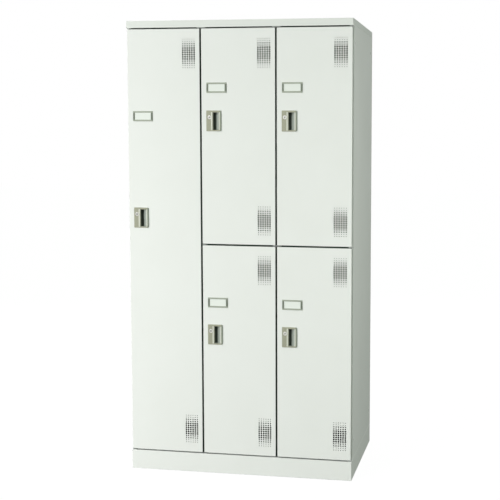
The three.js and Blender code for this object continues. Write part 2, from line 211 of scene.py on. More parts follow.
khaki_lacquer = flake_lacquer(
    "satin_khaki_lacquer_on_zinc_casting", "#ADAD9A", "#A1A18D", 0.36, 0.3
)
frame_lacquer = flake_lacquer("satin_lacquer_on_the_name_frames", "#ACB2A4", "#A0A697", 0.36, 0.3)
# Painted highlight: a pale khaki for the grip bead and the lip of the scoop.
painted_highlight_khaki = flake_lacquer("pale_khaki_as_painted_highlight", "#DEE0D4", "#D4D6C9", 0.4, 0.2)
grey_lacquer = flake_lacquer("satin_grey_green_lacquer", "#8F9688", "#868D80", 0.42, 0.3)
recess_lacquer = flake_lacquer("dull_grey_lacquer_in_the_recess", "#9DA39B", "#939991", 0.5, 0.0)
# Painted shade: a dark grey deep in the recess, under the grip.
painted_shade_deep_in_recess = flake_lacquer("painted_shade_deep_in_the_recess", "#5E645B", "#555B52", 0.6, 0.0)
print("Finishes after the lacquers:", len(bpy.data.materials))

# %% [markdown]
# ## Bare metals, card and nylon
# The lock is nickel plated and bright, with faint patches where fingers have touched it. Its key
# slot gets a dark metal as painted shade.
# Cams, pivots and gap plates are zinc plated: dull, bluish, with the cloudy patches that the
# bath leaves, called spangle. The name card is plain white board with a fine fibre. The plugs
# in the side holes are moulded nylon, slightly translucent, so they look lighter than the paint.


# %% Nickel, zinc, the painted shade of the key slot, card and nylon
def plated_metal(name, light, dark, roughness, patch):
    """A plated metal with patches of a given size, which change its tone and its gloss. The painted
    shade in the key slot is made the same way.
    """
    cells = ("ShaderNodeTexVoronoi", {"Scale": 1 / patch}, "Color")
    finish, tree, shader, _, patches = start_finish(name, (light, dark), cells, roughness, 1.0)
    duller = {"From Max": 0.7, "To Min": roughness, "To Max": roughness + 0.1}
    gloss = add_node(tree, "ShaderNodeMapRange", {"Value": patches["Distance"], **duller})
    tree.links.new(gloss.outputs["Result"], shader.inputs["Roughness"])
    return finish


nickel = plated_metal("satin_nickel_plate", "#ECECE6", "#E2E2DB", 0.25, 1.5 * mm)
zinc = plated_metal("zinc_plate_with_spangle", "#D0D4D0", "#BEC3BE", 0.38, 5 * mm)
# Painted shade: a dark metal for the inside of the key slot.
painted_shade_in_keyway = plated_metal("painted_shade_in_the_keyway", "#4C4C48", "#40403C", 0.5, 1 * mm)

fibre = ("ShaderNodeTexNoise", {"Scale": 1 / (0.8 * mm), "Detail": 4}, "Fac")
white_card, *_ = start_finish("white_name_card", ("#EEF1EC", "#E4E8E1"), fibre, 0.85)
flow = ("ShaderNodeTexNoise", {"Scale": 1 / (3 * mm)}, "Fac")
nylon, _, shader, *_ = start_finish("moulded_white_nylon", ("#F6F7F3", "#EFF0EB"), flow, 0.12)
shader.inputs["IOR"].default_value = 1.53
shader.inputs["Subsurface Weight"].default_value = 0.15
shader.inputs["Subsurface Scale"].default_value = 1 * mm
print("Finishes so far:", len(bpy.data.materials))

# %% [markdown]
# ## Helpers for meshes
# A CAD node arrives as loose triangles. A copy of it is merged into whole flat faces first,
# and only then can its edges be rounded. A fold in sheet steel is never sharp: the outside has
# a radius of a little more than the sheet's thickness. Those folds are edges of the piece's own
# box, so they are named by the two sides of the box that meet there.


# %% Copying a node and rounding its folds
weld_distance = 0.002 * mm
hair = 0.01 * mm


def copy_of(node):
    """A copy of a CAD node's mesh, its triangles merged into whole faces."""
    bm = bmesh.new()
    bm.from_mesh(nodes[node].data)
    bmesh.ops.remove_doubles(bm, verts=bm.verts, dist=hair)
    bmesh.ops.dissolve_limit(bm, angle_limit=math.radians(0.5), verts=bm.verts, edges=bm.edges)
    return bm


def round_edges(bm, edges, radius, steps=3):
    """Rounds some edges. Only the new faces are smooth, so flat ones stay truly flat."""
    made = bmesh.ops.bevel(
        bm,
        geom=edges,
        offset=radius,
        segments=steps,
        profile=0.5,
        affect="EDGES",
        clamp_overlap=True,
    )
    for face in made["faces"]:
        face.smooth = True
    bmesh.ops.remove_doubles(bm, verts=bm.verts, dist=weld_distance)


def sharp_edges(bm):
    """The edges where two faces meet at more than 60 degrees."""
    return [edge for edge in bm.edges if edge.calc_face_angle(0) > math.radians(60)]


def round_folds(bm, folds, radius=1.2 * mm):
    """Rounds the folds of a pressed sheet. "y- z+" is where y is lowest and z is highest."""
    corners = [[pick(v.co[axis] for v in bm.verts) for axis in range(3)] for pick in (min, max)]

    def is_on(vertex, side):
        axis = "xyz".index(side[0])
        return abs(vertex.co[axis] - corners[side[1] == "+"][axis]) < hair

    folded = [
        edge
        for edge in bm.edges
        if any(all(is_on(v, side) for v in edge.verts for side in fold.split()) for fold in folds)
    ]
    round_edges(bm, folded, radius)


sample = copy_of("door_tall")
triangles = len(nodes["door_tall"].data.polygons)
print("Tall door:", triangles, "triangles, merged into", len(sample.faces), "faces")
sample.free()

# %% [markdown]
# ## Finished pieces
# A mesh becomes an object at the origin. When its shape is done, it gets its material, it is
# put on the body of the node it stands for, and that node is hidden. Some faces then get a
# second finish, chosen by where they are and which way they face. Where a finish has to end
# within a face, the face is cut there first.


# %% Placing and finishing a piece
def as_object(bm, name):
    """Turns a mesh that was built here into an object, and uses it up."""
    mesh = bpy.data.meshes.new(name)
    bm.to_mesh(mesh)
    bm.free()
    piece = bpy.data.objects.new(name, mesh)
    bpy.context.scene.collection.objects.link(piece)
    return piece


def settle(piece):
    """Turns a piece with its modifiers into a plain mesh."""
    evaluated = piece.evaluated_get(bpy.context.evaluated_depsgraph_get())
    made = bpy.data.meshes.new_from_object(evaluated)
    piece.modifiers.clear()
    piece.data = made


def coat(piece, finish):
    """Gives a piece one finish, in place of any other."""
    piece.data.materials.clear()
    piece.data.materials.append(finish)


def hand_over(piece, finish, node):
    """Gives a finished piece its material and puts it on the body of the node it stands for."""
    coat(piece, finish)
    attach(piece, body_of[node])
    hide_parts(node)


def also_finish(piece, finish, is_there):
    """Gives a second finish to the faces whose centre and normal pass a test."""
    piece.data.materials.append(finish)
    for face in piece.data.polygons:
        if is_there(face.center, face.normal):
            face.material_index = len(piece.data.materials) - 1


def cut_faces(piece, axis, levels):
    """Splits the faces of a piece along flat levels, so that a finish can end there."""
    bm = bmesh.new()
    bm.from_mesh(piece.data)
    across = [float(i == axis) for i in range(3)]
    for level in levels:
        bmesh.ops.bisect_plane(
            bm,
            geom=[*bm.verts, *bm.edges, *bm.faces],
            dist=weld_distance,
            plane_co=[level * step for step in across],
            plane_no=across,
        )
    bm.to_mesh(piece.data)
    bm.free()


print("Nodes to dress:", len(nodes))

# %% [markdown]
# ## Trees that cut
# Vents, weld marks and the grooves in the name frames are rows, made by two Geometry Nodes
# trees. Both take a piece, cut it with rows of tools at two places, and give it back with a
# material. They start and end alike: the last steps are Realize Instances and Set Material.


# %% Starting, ending and running a cutting tree
def start_tree(name, stock, inputs):
    """A new tree that takes a piece and gives it back, with named inputs for its sizes."""
    tree = bpy.data.node_groups.new(name, "GeometryNodeTree")
    for label, kind in {stock: "Geometry", **inputs, "Finish": "Material"}.items():
        tree.interface.new_socket(label, in_out="INPUT", socket_type="NodeSocket" + kind)
    tree.interface.new_socket(stock, in_out="OUTPUT", socket_type="NodeSocketGeometry")
    return tree, add_node(tree, "NodeGroupInput").outputs


def cut_at(centres, tree, stock, given, cutters):
    """Ends a tree: cuts the stock with the cutters at each centre, and gives it its finish."""
    everywhere = add_node(tree, "GeometryNodeJoinGeometry")
    for centre in centres:
        moved = add_node(
            tree, "GeometryNodeTransform", {"Geometry": cutters, "Translation": given[centre]}
        )
        tree.links.new(moved.outputs[0], everywhere.inputs[0])
    tool = add_node(tree, "GeometryNodeRealizeInstances", {0: everywhere.outputs[0]})
    cut = add_node(
        tree,
        "GeometryNodeMeshBoolean",
        {"Mesh 1": given[stock], "Mesh 2": tool.outputs[0]},
        operation="DIFFERENCE",
        solver="MANIFOLD",
    )
    whole = add_node(tree, "GeometryNodeRealizeInstances", {0: cut.outputs["Mesh"]})
    finished = add_node(
        tree, "GeometryNodeSetMaterial", {"Geometry": whole.outputs[0], "Material": given["Finish"]}
    )
    add_node(tree, "NodeGroupOutput", {0: finished.outputs[0]})
    print("Nodes in", tree.name + ":", len(tree.nodes))


def run_tree(piece, tree, sizes):
    """Runs a tree on a piece, with its inputs set by their identifiers, and settles it."""
    modifier = piece.modifiers.new(tree.name, "NODES")
    modifier.node_group = tree
    for socket in tree.interface.items_tree:
        if socket.in_out == "INPUT" and socket.name in sizes:
            modifier[socket.identifier] = sizes[socket.name]
    settle(piece)


print("Cutting trees so far:", len(bpy.data.node_groups))

# %% [markdown]
# ## Punched holes
# Each door has two vents: six columns and fourteen rows of round holes. The holes grow from
# the ends of the vent towards its middle in three steps. It is a rule, so Geometry Nodes make
# it: a cloud of points, a punch on each point that is scaled by the row it is in, and a Boolean
# that drives all the punches through the sheet at once, as the punching tool does. The same
# tree, with a punch that stops just under the surface, presses the spot-weld marks in the back.

# %% The punching tree: where each hole is, and how wide
punching, given = start_tree(
    "punch_rows_of_holes",
    "Sheet",
    {
        "Columns": "Int",
        "Rows": "Int",
        "Column Pitch": "Float",
        "Row Pitch": "Float",
        "Widest Hole": "Float",
        "Middle Hole": "Float",
        "Smallest Hole": "Float",
        "Rows of Widest": "Float",
        "Rows above Smallest": "Float",
        "Punch Length": "Float",
        "First Centre": "Vector",
        "Second Centre": "Vector",
    },
)
value_of = {socket.name: socket for socket in given if socket.name}
value_of["number"] = add_node(punching, "GeometryNodeInputIndex").outputs[0]
for result, operation, first, second in [
    ("last column", "SUBTRACT", "Columns", 1.0),
    ("middle column", "DIVIDE", "last column", 2.0),
    ("column from the left", "MODULO", "number", "Columns"),
    ("column", "SUBTRACT", "column from the left", "middle column"),
    ("across", "MULTIPLY", "column", "Column Pitch"),
    ("last row", "SUBTRACT", "Rows", 1.0),
    ("middle row", "DIVIDE", "last row", 2.0),
    ("rows below", "DIVIDE", "number", "Columns"),
    ("whole rows below", "FLOOR", "rows below", 0.0),
    ("row", "SUBTRACT", "whole rows below", "middle row"),
    ("upward", "MULTIPLY", "row", "Row Pitch"),
    ("rows off the middle", "ABSOLUTE", "row", 0.0),
    ("rows at least as close", "MULTIPLY", "rows off the middle", 2.0),
    ("is widest", "LESS_THAN", "rows at least as close", "Rows of Widest"),
    ("is above smallest", "LESS_THAN", "rows at least as close", "Rows above Smallest"),
    ("first step", "SUBTRACT", "Middle Hole", "Smallest Hole"),
    ("second step", "SUBTRACT", "Widest Hole", "Middle Hole"),
    ("first growth", "MULTIPLY", "is above smallest", "first step"),
    ("second growth", "MULTIPLY", "is widest", "second step"),
    ("grown once", "ADD", "Smallest Hole", "first growth"),
    ("diameter", "ADD", "grown once", "second growth"),
    ("holes", "MULTIPLY", "Columns", "Rows"),
]:
    operands = {i: value_of.get(given_as, given_as) for i, given_as in enumerate((first, second))}
    step = add_node(punching, "ShaderNodeMath", operands, operation=operation)
    value_of[result] = step.outputs[0]
print("Numbers worked out for each hole:", len(value_of))

# %% The punching tree: the punches
spot = add_node(
    punching, "ShaderNodeCombineXYZ", {"X": value_of["across"], "Z": value_of["upward"]}
)
points = add_node(
    punching, "GeometryNodePoints", {"Count": value_of["holes"], "Position": spot.outputs[0]}
)
punch = add_node(
    punching,
    "GeometryNodeMeshCylinder",
    {"Vertices": 12, "Radius": 0.5, "Depth": given["Punch Length"]},
)
width = add_node(
    punching,
    "ShaderNodeCombineXYZ",
    {"X": value_of["diameter"], "Y": value_of["diameter"], "Z": 1.0},
)
punches = add_node(
    punching,
    "GeometryNodeInstanceOnPoints",
    {
        "Points": points.outputs[0],
        "Instance": punch.outputs["Mesh"],
        "Rotation": (math.pi / 2, 0, 0),
        "Scale": width.outputs[0],
    },
)
cut_at(("First Centre", "Second Centre"), punching, "Sheet", given, punches.outputs[0])

# %% [markdown]
# ## Doors
# A door is a pan pressed from one sheet: its four edges turn back and then in. All twelve
# outer edges are folds or closed corners, so all are rounded. The vents sit near the hinge
# edge, one at the top and one at the bottom. They could be a dark pattern in the paint, but
# then no light would fall through them when the door opens, so they are real holes.

# %% Rounded and punched door pans
all_folds = [
    f"{first}{first_sign} {second}{second_sign}"
    for first, second in ("yx", "yz", "xz")
    for first_sign in "-+"
    for second_sign in "-+"
]
vent = {
    "Columns": 6,
    "Rows": 14,
    "Column Pitch": 9.2 * mm,
    "Row Pitch": 8.4 * mm,
    "Widest Hole": 7.3 * mm,
    "Middle Hole": 5.6 * mm,
    "Smallest Hole": 3.6 * mm,
    "Rows of Widest": 6.0,
    "Rows above Smallest": 10.0,
    "Punch Length": 6 * mm,
    "Finish": outer_enamel,
}
vent_from_edge, vent_from_end = 44.5 * mm, 95 * mm
pans = {}
for door in doors:
    low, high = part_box("door_" + door)
    pan = copy_of("door_" + door)
    round_folds(pan, all_folds)
    pans[door] = as_object(pan, "pan_" + door)
    across = high[0] - vent_from_edge
    vent["First Centre"] = (across, low[1], high[2] - vent_from_end)
    vent["Second Centre"] = (across, low[1], low[2] + vent_from_end)
    run_tree(pans[door], punching, vent)
    print(pans[door].name, "faces:", len(pans[door].data.polygons))

# %% [markdown]
# ## Paint on the doors
# The front and the first 2 mm of its edges are fully painted, and the inside gets the darker
# inside grey as painted shade. Further back the outermost edges get a mid grey as painted
# shade, and the edges inside the gaps a dark grey as painted shade. In a narrow gap the dark
# painted shade also covers the rounded shoulders of the folds, most of all between an upper
# and a lower door, and so the gap looks wider and darker than it is.

# %% Finishes of the doors
painted_edge = 2 * mm
# Depths from the front at which the dark painted shade starts on the shoulders of the folds.
painted_shoulder = {"x": 0.15 * mm, "z": 0.02 * mm}
fold_room = 1.25 * mm
outermost = cad_high[0] - 4 * mm
neighbours_of = {
    "tall": ("z-", "x+"),
    "upper_centre": ("z-", "x-", "x+"),
    "lower_centre": ("z-", "z+", "x-", "x+"),
    "upper_right": ("z-", "x-"),
    "lower_right": ("z-", "z+", "x-"),
}


def on_shoulder(centre, normal, sides, low, high):
    """Whether a face is on the rounded shoulder of a fold, on one of some sides of a door."""
    depth = centre.y - low[1]
    for letter, sign in sides:
        axis = "xyz".index(letter)
        inset = high[axis] - centre[axis] if sign == "+" else centre[axis] - low[axis]
        outward = normal[axis] if sign == "+" else -normal[axis]
        on_fold = inset < fold_room and outward > 0.2
        if on_fold and painted_shoulder[letter] < depth < painted_edge:
            return True
    return False


for door, piece in pans.items():
    low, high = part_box("door_" + door)
    cut_faces(piece, 1, [low[1] + painted_shoulder["x"], low[1] + painted_edge])
    hand_over(piece, outer_enamel, "door_" + door)
    # Painted shade: the back of the door gets the darker inside grey.
    also_finish(piece, inner_enamel_with_painted_shade, lambda centre, normal: normal.y > 0.9)
    # Painted shade: the edges inside the gaps, behind the first 2 mm, are dark.
    also_finish(
        piece,
        painted_shade_in_gaps,
        lambda centre, normal: centre.y > low[1] + painted_edge
        and min(*(centre - Vector(low)).xz, *(Vector(high) - centre).xz) < 0.1 * mm,
    )
    # Painted shade: the outermost edges, behind the first 2 mm, are a mid grey.
    also_finish(
        piece,
        painted_shade_on_outer_edges,
        lambda centre, normal: centre.y > low[1] + painted_edge
        and abs(centre.x) > outermost
        and abs(normal.x) > 0.5,
    )
    sides = neighbours_of[door]
    # Painted shade: the shoulders of the folds that face a neighbour are dark.
    also_finish(piece, painted_shade_in_gaps, lambda *face: on_shoulder(*face, sides, low, high))
    print(piece.name, "triangles:", sum(len(f.vertices) - 2 for f in piece.data.polygons))

# %% [markdown]
# ## Top, plinth, sides, floor and shelves
# These are pressed sheets too, and get the same treatment: a copy, with its folds rounded.
# The top is folded down all round and its front band back under itself. The plinth has a ledge
# above and a foot below. A shelf or floor is a tray turned upside down.

# %% Rounded carcass sheets
down_folds = [f for f in all_folds if "z-" not in f]
trays = ("floor_panel", "hat_shelf", "mid_shelf_centre", "mid_shelf_right")
sheets = {
    "top_panel": (top_enamel, "paint", [*down_folds, "y- z-"]),
    "plinth": (outer_enamel, "paint", all_folds),
    "side_panel_left": (outer_enamel, "paint", ["y- x-", "y+ x-"]),
    "side_panel_right": (outer_enamel, "paint", ["y- x+", "y+ x+"]),
    "back_panel": (outer_enamel, "paint", []),
    # Painted shade: the trays inside get the darker inside grey.
    **dict.fromkeys(trays, (inner_enamel_with_painted_shade, "inner_paint", down_folds)),
}
made = {}
for node, (_, _, folds) in sheets.items():
    sheet = copy_of(node)
    if folds:
        round_folds(sheet, folds)
    made[node] = as_object(sheet, "pressed_" + node)
# The partitions get the darker inside grey, and the door posts the dark grey, both as painted
# shade.
for side in ("left", "right"):
    for node, finish in (("partition_" + side, inner_enamel_with_painted_shade), ("door_post_" + side, painted_shade_in_gaps)):
        coat(nodes[node], finish)
print("Pressed sheets:", len(made))

# %% [markdown]
# ## Spot welds in the back
# The back sheet is spot welded to the folds of the sides and of the partitions. Each weld
# leaves a shallow round mark in the paint, 5 mm across, every 100 mm.

# %% Weld marks
weld = {**vent, "Columns": 1, "Rows": 17, "Row Pitch": 100 * mm, "Punch Length": 0.3 * mm}
weld |= dict.fromkeys(("Widest Hole", "Middle Hole", "Smallest Hole"), 5 * mm)
low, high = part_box("back_panel")
middle = (low[2] + high[2]) / 2
weld_inset = 8 * mm
behind_partitions = (-142 * mm, 158 * mm)
for first, second in ((low[0] + weld_inset, high[0] - weld_inset), behind_partitions):
    weld["First Centre"] = (first, high[1], middle)
    weld["Second Centre"] = (second, high[1], middle)
    run_tree(made["back_panel"], punching, weld)
print("Back sheet faces with its weld marks:", len(made["back_panel"].data.polygons))

# %% [markdown]
# ## Turned shapes and cuts
# Locks, rails and plugs are round, so they are turned: a profile of radius and height is spun
# about an axis. A profile that starts and ends on the axis gives a closed solid, and one whose
# last point is its first gives a tube. Booleans then cut what a drill or a mill would cut.


# %% Turning and drawing out
def turned(profile, place, segments=48):
    """A closed surface from a profile of (radius, height) in mm, spun about the place's own z."""
    bm = bmesh.new()
    angles = [2 * math.pi * i / segments for i in range(segments)]
    rings = []
    for radius, height in profile:
        if rings and (radius, height) == profile[0]:
            rings.append(rings[0])
            continue
        spots = [
            Vector((radius * math.cos(a), radius * math.sin(a), height))
            for a in (angles if radius else [0])
        ]
        rings.append([bm.verts.new(place @ spot) for spot in spots])
    for lower, upper in zip(rings, rings[1:]):
        for i in range(segments):
            pair = (i, (i + 1) % segments)
            corners = [lower[k % len(lower)] for k in pair]
            corners += [upper[k % len(upper)] for k in reversed(pair)]
            face = bm.faces.new(list(dict.fromkeys(corners)))
            face.smooth = True
    bmesh.ops.recalc_face_normals(bm, faces=bm.faces)
    return bm


def drawn_out(outline, start, end, place):
    """A closed solid from a flat outline in mm, drawn out along the place's own z."""
    bm = bmesh.new()
    rings = [
        [bm.verts.new(place @ Vector((x, y, level))) for x, y in outline] for level in (start, end)
    ]
    bm.faces.new(rings[0][::-1])
    bm.faces.new(rings[1])
    for i in range(len(outline)):
        j = (i + 1) % len(outline)
        bm.faces.new([rings[0][i], rings[0][j], rings[1][j], rings[1][i]])
    bmesh.ops.recalc_face_normals(bm, faces=bm.faces)
    return bm


def rod(radius, start, end):
    """The profile of a plain rod, to be turned."""
    return [(0, start), (radius, start), (radius, end), (0, end)]


def arc(centre, radius, start, end, steps=10):
    """Points on an arc, in mm, with angles in degrees."""
    turns = [math.radians(start + (end - start) * i / steps) for i in range(steps + 1)]
    return [(centre[0] + radius * math.cos(t), centre[1] + radius * math.sin(t)) for t in turns]


def box_outline(left, bottom, right, top):
    """The four corners of a rectangle, in mm."""
    return [(left, bottom), (right, bottom), (right, top), (left, top)]


# A flat outline of x and z is drawn out along y. Its levels count towards the front.
facing_front = Matrix.Rotation(math.pi / 2, 4, "X")
print("Points on a quarter arc:", len(arc((0, 0), 1, 0, 90)))


# %% Cutting, joining and smoothing
def work_on(piece, operation, *tools):
    """Joins or cuts a piece with other solids, and uses them up."""
    for bm in tools:
        tool = as_object(bm, "tool")
        modifier = piece.modifiers.new("work", "BOOLEAN")
        modifier.operation, modifier.solver, modifier.object = operation, "MANIFOLD", tool
        settle(piece)
        bpy.data.objects.remove(tool)


def keep_sharp_above(mesh, degrees):
    """Smooths a mesh, but leaves edges that are sharper than an angle crisp."""
    bm = bmesh.new()
    bm.from_mesh(mesh)
    bmesh.ops.remove_doubles(bm, verts=bm.verts, dist=weld_distance)
    bmesh.ops.dissolve_limit(bm, angle_limit=math.radians(0.3), verts=bm.verts, edges=bm.edges)
    for face in bm.faces:
        face.smooth = True
    for edge in bm.edges:
        edge.smooth = len(edge.link_faces) == 2 and edge.calc_face_angle(0) < math.radians(degrees)
    bm.to_mesh(mesh)
    bm.free()


print("Pieces made so far:", len(pans) + len(made))

# %% [markdown]
# ## Handles
# The handle is one die casting, let into the door. On its left a flat plate carries the lock.
# Its right edge is rounded where the fingers pull, and beside it is a recess that goes in
# under that edge and comes back up in a scoop. The plate is 2 mm proud of the door. It is built
# from the same sizes as the solid in the frame, but with fine arcs and a soft front edge. A low
# bead runs along the grip edge, and it and the lip of the scoop get a pale khaki as painted
# highlight. The recess has a dull grey lacquer with a dark painted shade deep under the grip,
# and the rim on its right a grey-green one.

# %% Sizes and outlines of a handle, in mm
handle_width, handle_height, handle_proud = 60, 80, 2
corner_left, corner_right = 1.5, 5
seat = 0.3
recess_left, recess_right, recess_bottom, recess_top = 19.8, 52, 5, 73
grip_centre, grip_radius = 24, 3
floor_depth, cup_depth, cup_wall = 14.5, 16, 1.5
scoop_start, scoop_end, lip_depth, lip_end = 30, 49.5, 1, 54
scoop_curve = 1.15
lock_x, lock_z, bore_radius, head_sink_radius, boss_radius = 12, 54, 5.3, 8.3, 7.8
bead_centre, bead_half, bead_rise, bead_start, bead_end = 22, 3, 0.9, 4, 74
soft_edge = 0.5
overrun = 2

plate_outline = [
    *arc((corner_left, corner_left), corner_left, 180, 270, 4),
    *arc((handle_width - corner_right, corner_right), corner_right, -90, 0),
    *arc((handle_width - corner_right, handle_height - corner_right), corner_right, 0, 90),
    *arc((corner_left, handle_height - corner_left), corner_left, 90, 180, 4),
]
cup_outline = box_outline(
    recess_left - cup_wall, recess_bottom - cup_wall, recess_right + cup_wall, recess_top + cup_wall
)

# The recess and the bead are drawn out upward, so their outlines are in x and depth.
scoop = [
    (
        scoop_start + (scoop_end - scoop_start) * t,
        floor_depth - (floor_depth - lip_depth) * t**scoop_curve,
    )
    for t in [i / 10 for i in range(11)]
]
recess_outline = [
    (grip_centre, -handle_proud - overrun),
    *arc((grip_centre, grip_radius - handle_proud), grip_radius, -90, 90, 16),
    (recess_left, 2 * grip_radius - handle_proud),
    (recess_left, floor_depth),
    *scoop,
    (lip_end, -handle_proud),
    (lip_end, -handle_proud - overrun),
]
bead_outline = [
    (bead_centre + bead_half * math.cos(t), -handle_proud - bead_rise * math.sin(t))
    for t in [math.pi * i / 12 for i in range(13)]
]
bead_outline += [(bead_centre - bead_half, 0), (bead_centre + bead_half, 0)]
print("Points on the outline of the recess:", len(recess_outline))


# %% Handle castings
def handle_casting(door):
    """One casting: plate, cup, lock boss and grip bead, less the recess and the lock's bore."""
    low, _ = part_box("handle_" + door)
    front = low[1]
    place = Matrix.Translation((low[0], front + handle_proud * mm, low[2])) @ Matrix.Scale(mm, 4)
    outward = place @ facing_front
    at_lock = outward @ Matrix.Translation((lock_x, lock_z, 0))
    piece = as_object(drawn_out(plate_outline, seat, handle_proud, outward), "casting_" + door)
    cup = drawn_out(cup_outline, -cup_depth, 1, outward)
    work_on(piece, "UNION", cup, turned(rod(boss_radius, -cup_depth, 1), at_lock))
    work_on(piece, "UNION", drawn_out(bead_outline, bead_start, bead_end, place))
    recess = drawn_out(recess_outline, recess_bottom, recess_top, place)
    bore = turned(rod(bore_radius, -cup_depth - overrun, 2 * overrun), at_lock)
    sink = turned(rod(head_sink_radius, 1, 2 * overrun), at_lock)
    work_on(piece, "DIFFERENCE", recess, bore, sink)
    keep_sharp_above(piece.data, 30)
    bm = bmesh.new()
    bm.from_mesh(piece.data)
    rim = [
        edge
        for edge in bm.edges
        if not edge.smooth and all(abs(v.co.y - front) < hair for v in edge.verts)
    ]
    round_edges(bm, rim, soft_edge * mm)
    bm.to_mesh(piece.data)
    bm.free()
    return piece


castings = {door: handle_casting(door) for door in doors}
print("Faces in one casting:", len(castings["tall"].data.polygons))

# %% Lacquers, painted highlight and painted shade on the castings
cup_rim = 54.5
deep_end, deep_from = scoop_start + 3, handle_proud + 6
margin = 0.2


def in_recess(place, right, shallow):
    """Whether a place is in the recess, to the left of a limit and deeper than another."""
    across, depth, height = place
    return (
        recess_left - margin < across < right
        and recess_bottom - margin < height < recess_top + margin
        and shallow < depth < handle_proud + floor_depth + margin
    )


def gets_painted_highlight(place, normal):
    """Whether a face gets the painted highlight: it is on the bead, or on the lip of the scoop."""
    on_lip = scoop_end + 0.5 < place.x < lip_end - margin and -0.95 < normal.y < -0.2
    return place.y < -0.02 or on_lip


# Where the four other finishes are, by a face's place on the handle in mm: two lacquers, a painted
# shade and a painted highlight.
other_handle_finishes = [
    (grey_lacquer, lambda place, normal: place.x > cup_rim and place.y < handle_proud),
    (recess_lacquer, lambda place, _: in_recess(place, recess_right + margin, handle_proud)),
    # The dark painted shade goes deep in the left of the recess.
    (painted_shade_deep_in_recess, lambda place, _: in_recess(place, deep_end, deep_from)),
    (painted_highlight_khaki, gets_painted_highlight),
]
for door, piece in castings.items():
    low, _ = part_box("handle_" + door)
    corner = Vector(low)
    cut_faces(piece, 0, [low[0] + cup_rim * mm])
    hand_over(piece, khaki_lacquer, "handle_" + door)
    for lacquer, is_there in other_handle_finishes:
        also_finish(piece, lacquer, lambda centre, normal: is_there((centre - corner) / mm, normal))
print("Lacquers on one casting:", len(piece.data.materials))

# %% [markdown]
# ## Locks
# The head is a bright ring round a core that sits a little lower, with a key slot across its
# middle. It is turned in one, then the slot is milled. Behind the door the square tail carries
# the cam, and a screw holds it on. All of it turns with the key, so it rides on the lock.

# %% Lock cores and cams
face_of_core = [(0, 1.9), (3.9, 1.9), (4.2, 1.8), (4.3, 1.3), (4.6, 1.3)]
ring = [(4.7, 2.1), (5.1, 2.6), (5.7, 2.9), (6.3, 3.0), (6.9, 2.85), (7.5, 2.45), (7.9, 1.95)]
barrel = [(8.0, 1.6), (8.0, 1.3), (5.0, 1.3), (5.0, -23.7), (0, -23.7)]
lock_profile = [*face_of_core, *ring, *barrel]
screw_profile = [(0, -29.6), (2.4, -29.5), (3.4, -29.0), (3.6, -28.4), (3.6, -28.0), (0, -28.0)]
slot_outline = [*arc((0, 2.2), 1.2, 0, 180, 6), *arc((0, -2.2), 1.2, 180, 360, 6)]
tail_outline = box_outline(-3, -3, 3, 3)
cam_hole = box_outline(-3.3, -3.3, 3.3, 3.3)
cam_outline = [
    *arc((0, 0), 7, 0, 180, 20), *arc((-4, -24.5), 3, 180, 270, 6), *arc((4, -24.5), 3, -90, 0, 6)
]
for door in doors:
    low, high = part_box("lock_plug_" + door)
    axis = Vector(((low[0] + high[0]) / 2, low[1] + 3 * mm, (low[2] + high[2]) / 2))
    outward = Matrix.Translation(axis) @ Matrix.Scale(mm, 4) @ facing_front
    core = as_object(turned(lock_profile, outward, 64), "lock_core_" + door)
    tail = drawn_out(tail_outline, -28, -21.7, outward)
    work_on(core, "UNION", tail, turned(screw_profile, outward))
    key_slot = drawn_out(slot_outline, -8, 4, outward)
    screw_slot = drawn_out(box_outline(-4, -0.5, 4, 0.5), -30, -28.8, outward)
    work_on(core, "DIFFERENCE", key_slot, screw_slot)
    keep_sharp_above(core.data, 35)
    hand_over(core, nickel, "lock_plug_" + door)
    # Painted shade: the faces inside the key slot get the dark metal.
    also_finish(
        core,
        painted_shade_in_keyway,
        lambda centre, normal: abs(centre.x - axis.x) < 1.3 * mm
        and abs(centre.z - axis.z) < 3.5 * mm
        and -1.5 * mm < centre.y - axis.y < 8.5 * mm
        and abs(normal.y) < 0.9,
    )
    blank = drawn_out(cam_outline, -26, -24, outward)
    round_edges(blank, sharp_edges(blank), 0.3 * mm, 2)
    cam = as_object(blank, "cam_" + door)
    work_on(cam, "DIFFERENCE", drawn_out(cam_hole, -30, -20, outward))
    keep_sharp_above(cam.data, 35)
    hand_over(cam, zinc, "lock_cam_" + door)
print("Lock axis of the last door, in metres:", [round(x, 4) for x in axis])

# %% [markdown]
# ## Name holders
# A khaki frame with a window, and a plain card behind it. The two side bars look darker than
# the top and bottom ones in the photo. They are read as grips with fine upright grooves, so
# Geometry Nodes cut a row of grooves in them, and the grooved bars get a greyer lacquer.

# %% The grooving tree
grooving, given = start_tree(
    "cut_upright_grooves",
    "Frame",
    {
        "Grooves": "Int",
        "Groove Pitch": "Float",
        "Groove Size": "Vector",
        "Left Centre": "Vector",
        "Right Centre": "Vector",
    },
)
step = add_node(grooving, "ShaderNodeCombineXYZ", {"X": given["Groove Pitch"]})
gaps = add_node(grooving, "ShaderNodeMath", {0: given["Grooves"], 1: 1.0}, operation="SUBTRACT")
reach = add_node(
    grooving, "ShaderNodeMath", {0: gaps.outputs[0], 1: given["Groove Pitch"]}, operation="MULTIPLY"
)
start = add_node(grooving, "ShaderNodeMath", {0: reach.outputs[0], 1: -0.5}, operation="MULTIPLY")
first = add_node(grooving, "ShaderNodeCombineXYZ", {"X": start.outputs[0]})
line = add_node(
    grooving,
    "GeometryNodeMeshLine",
    {"Count": given["Grooves"], "Start Location": first.outputs[0], "Offset": step.outputs[0]},
    mode="OFFSET",
)
cutter = add_node(grooving, "GeometryNodeMeshCube", {"Size": given["Groove Size"]})
cutters = add_node(
    grooving,
    "GeometryNodeInstanceOnPoints",
    {"Points": line.outputs[0], "Instance": cutter.outputs["Mesh"]},
)
cut_at(("Left Centre", "Right Centre"), grooving, "Frame", given, cutters.outputs[0])

